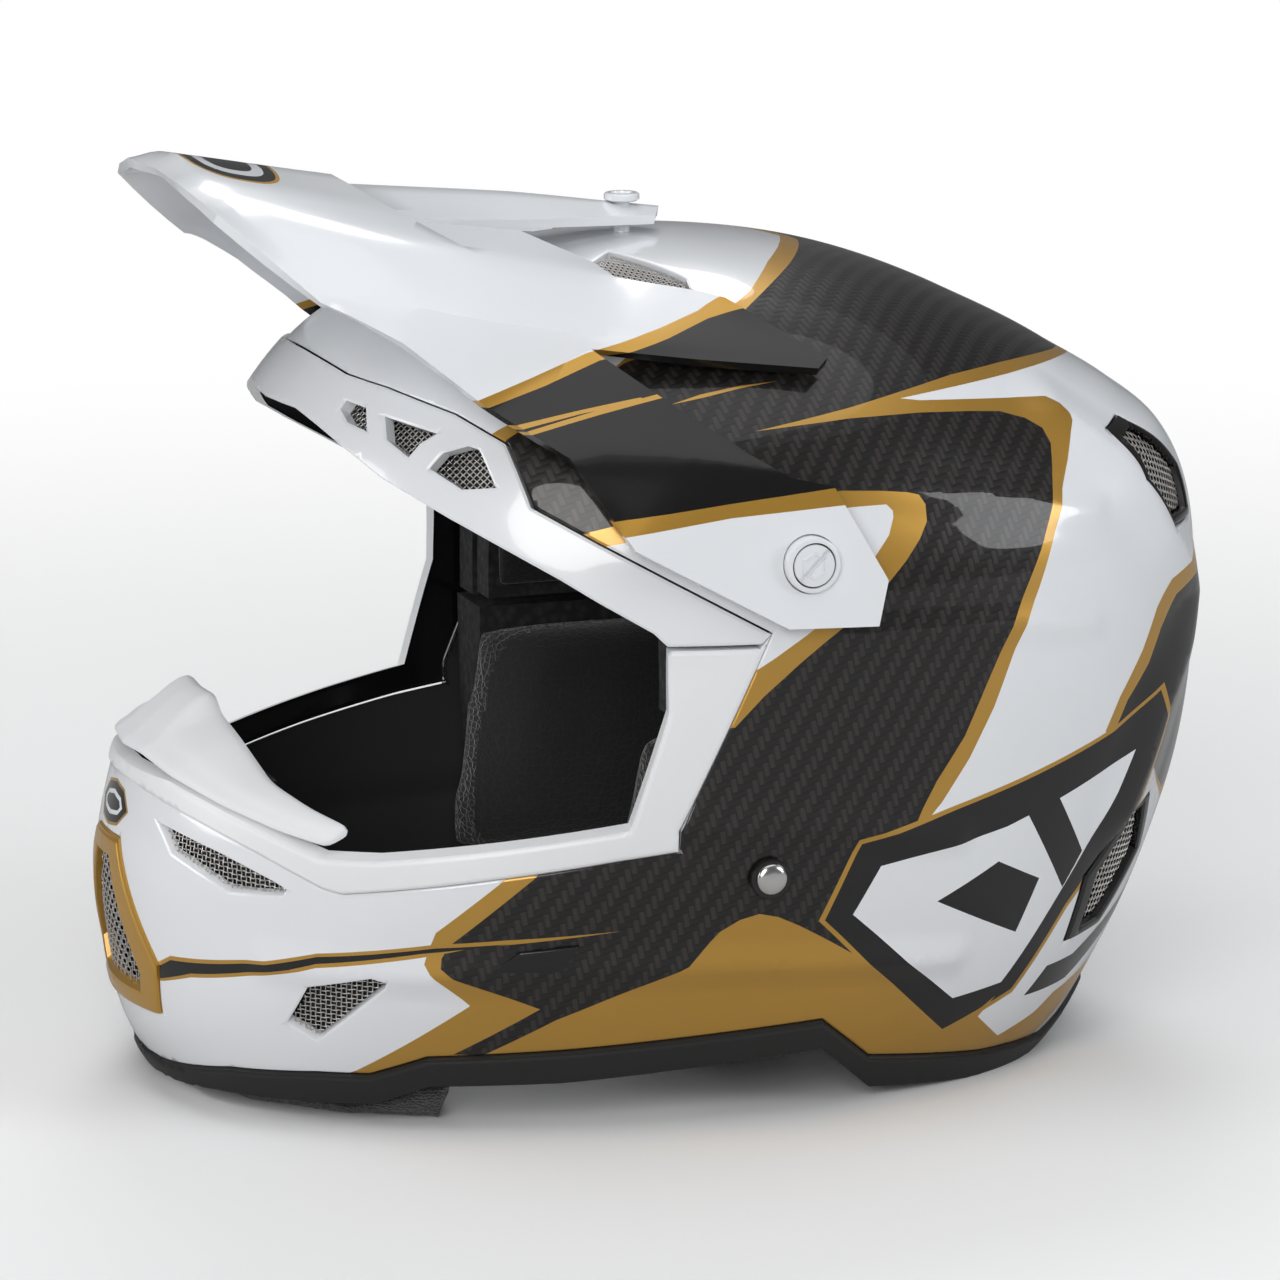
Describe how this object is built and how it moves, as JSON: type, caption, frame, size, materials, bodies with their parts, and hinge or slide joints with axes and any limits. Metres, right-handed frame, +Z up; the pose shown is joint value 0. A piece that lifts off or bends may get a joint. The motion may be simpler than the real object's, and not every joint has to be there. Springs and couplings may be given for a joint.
{
  "type": "motocross helmet",
  "caption": "Full-face off-road helmet with an adjustable peak, meshed vents, floating inner liner, snap-out cheek pads and a D-ring chin strap.",
  "frame": {"origin": "on the floor below the middle of the helmet's box", "axes": "+Z up, the rider faces -Y, the rider's left is +X"},
  "size_m": [0.2636, 0.3465, 0.2865],
  "materials": {
    "shell_paint": "gloss painted composite shell in white, gold and bare carbon weave",
    "trim_white": "gloss white moulding",
    "guard_rubber": "soft satin white rubber",
    "visor_white": "gloss painted moulding",
    "wire_mesh": "fine woven wire",
    "gold_paint": "satin gold paint",
    "black_gloss": "gloss black moulding",
    "screw_white": "moulded screw, satin white",
    "screw_black": "moulded screw, black",
    "steel": "plated steel",
    "rubber": "satin black edge rubber",
    "eps_foam": "moulded foam",
    "damper_rubber": "elastomer",
    "webbing": "woven webbing",
    "tab_web": "woven tape",
    "chin_textile": "fine woven textile",
    "lining_fabric": "moisture-wicking liner fabric"
  },
  "bodies": {
    "helmet": {"outer_shell": "shell_paint", "brow_band": "trim_white", "brow_mesh_left": "wire_mesh", "brow_mesh_right": "wire_mesh", "eyeport_trim": "trim_white", "nose_guard": "guard_rubber", "grille_surround": "gold_paint", "grille_mesh": "wire_mesh", "upper_chin_vent_mesh_left": "wire_mesh", "lower_chin_vent_mesh_left": "wire_mesh", "crown_vent_mesh_left": "wire_mesh", "rear_upper_vent_frame_left": "black_gloss", "rear_upper_vent_mesh_left": "wire_mesh", "rear_lower_vent_frame_left": "black_gloss", "rear_lower_vent_mesh_left": "wire_mesh", "side_badge_left": "black_gloss", "strap_rivet_left": "steel", "rivet_washer_left": "black_gloss", "cheek_block_left": "eps_foam", "chin_strap_left": "webbing", "damper_left": "damper_rubber", "upper_chin_vent_mesh_right": "wire_mesh", "lower_chin_vent_mesh_right": "wire_mesh", "crown_vent_mesh_right": "wire_mesh", "rear_upper_vent_frame_right": "black_gloss", "rear_upper_vent_mesh_right": "wire_mesh", "rear_lower_vent_frame_right": "black_gloss", "rear_lower_vent_mesh_right": "wire_mesh", "side_badge_right": "black_gloss", "strap_rivet_right": "steel", "rivet_washer_right": "black_gloss", "cheek_block_right": "eps_foam", "chin_strap_right": "webbing", "damper_right": "damper_rubber", "damper_crown": "damper_rubber", "damper_rear": "damper_rubber", "base_trim": "rubber", "chin_pad": "chin_textile", "outer_liner": "eps_foam", "chin_liner": "eps_foam", "neck_roll": "lining_fabric"},
    "floating_liner": {"inner_liner": "eps_foam", "comfort_liner": "lining_fabric"},
    "visor": {"visor": "visor_white"},
    "side_screw_left": {"side_screw_left": "screw_white"},
    "side_screw_right": {"side_screw_right": "screw_white"},
    "centre_screw": {"centre_screw": "screw_black"},
    "cheek_pad_left": {"cheek_pad_left": "lining_fabric", "release_tab_left": "tab_web"},
    "cheek_pad_right": {"cheek_pad_right": "lining_fabric", "release_tab_right": "tab_web"},
    "d_rings": {"d_ring_1": "steel", "d_ring_2": "steel"}
  },
  "joints": [
    {"name": "visor_tilt", "type": "hinge", "parent": "helmet", "child": "visor", "pos_m": [0, 0.0087, 0.1755], "axis": [1, 0, 0], "range_deg": [-4, 3]},
    {"name": "side_screw_left_turn", "type": "hinge", "parent": "helmet", "child": "side_screw_left", "pos_m": [0.131, 0.0087, 0.1755], "axis": [1, 0, 0], "continuous": true},
    {"name": "side_screw_right_turn", "type": "hinge", "parent": "helmet", "child": "side_screw_right", "pos_m": [-0.131, 0.0087, 0.1755], "axis": [-1, 0, 0], "continuous": true},
    {"name": "centre_screw_turn", "type": "hinge", "parent": "visor", "child": "centre_screw", "pos_m": [0, -0.0058, 0.26], "axis": [0, 0, 1], "continuous": true},
    {"name": "cheek_pad_left_release", "type": "slide", "parent": "helmet", "child": "cheek_pad_left", "axis": [-1, 0, 0], "range_m": [0, 0.03]},
    {"name": "cheek_pad_right_release", "type": "slide", "parent": "helmet", "child": "cheek_pad_right", "axis": [1, 0, 0], "range_m": [0, 0.03]},
    {"name": "liner_float", "type": "hinge", "parent": "helmet", "child": "floating_liner", "pos_m": [0, 0.0052, 0.155], "axis": [0, 0, 1], "range_deg": [-3, 3], "stiffness_Nm_per_rad": 8},
    {"name": "d_ring_swing", "type": "hinge", "parent": "helmet", "child": "d_rings", "pos_m": [0.034, -0.0006, 0.0234], "axis": [0, 1, 0], "range_deg": [-50, 50]}
  ]
}
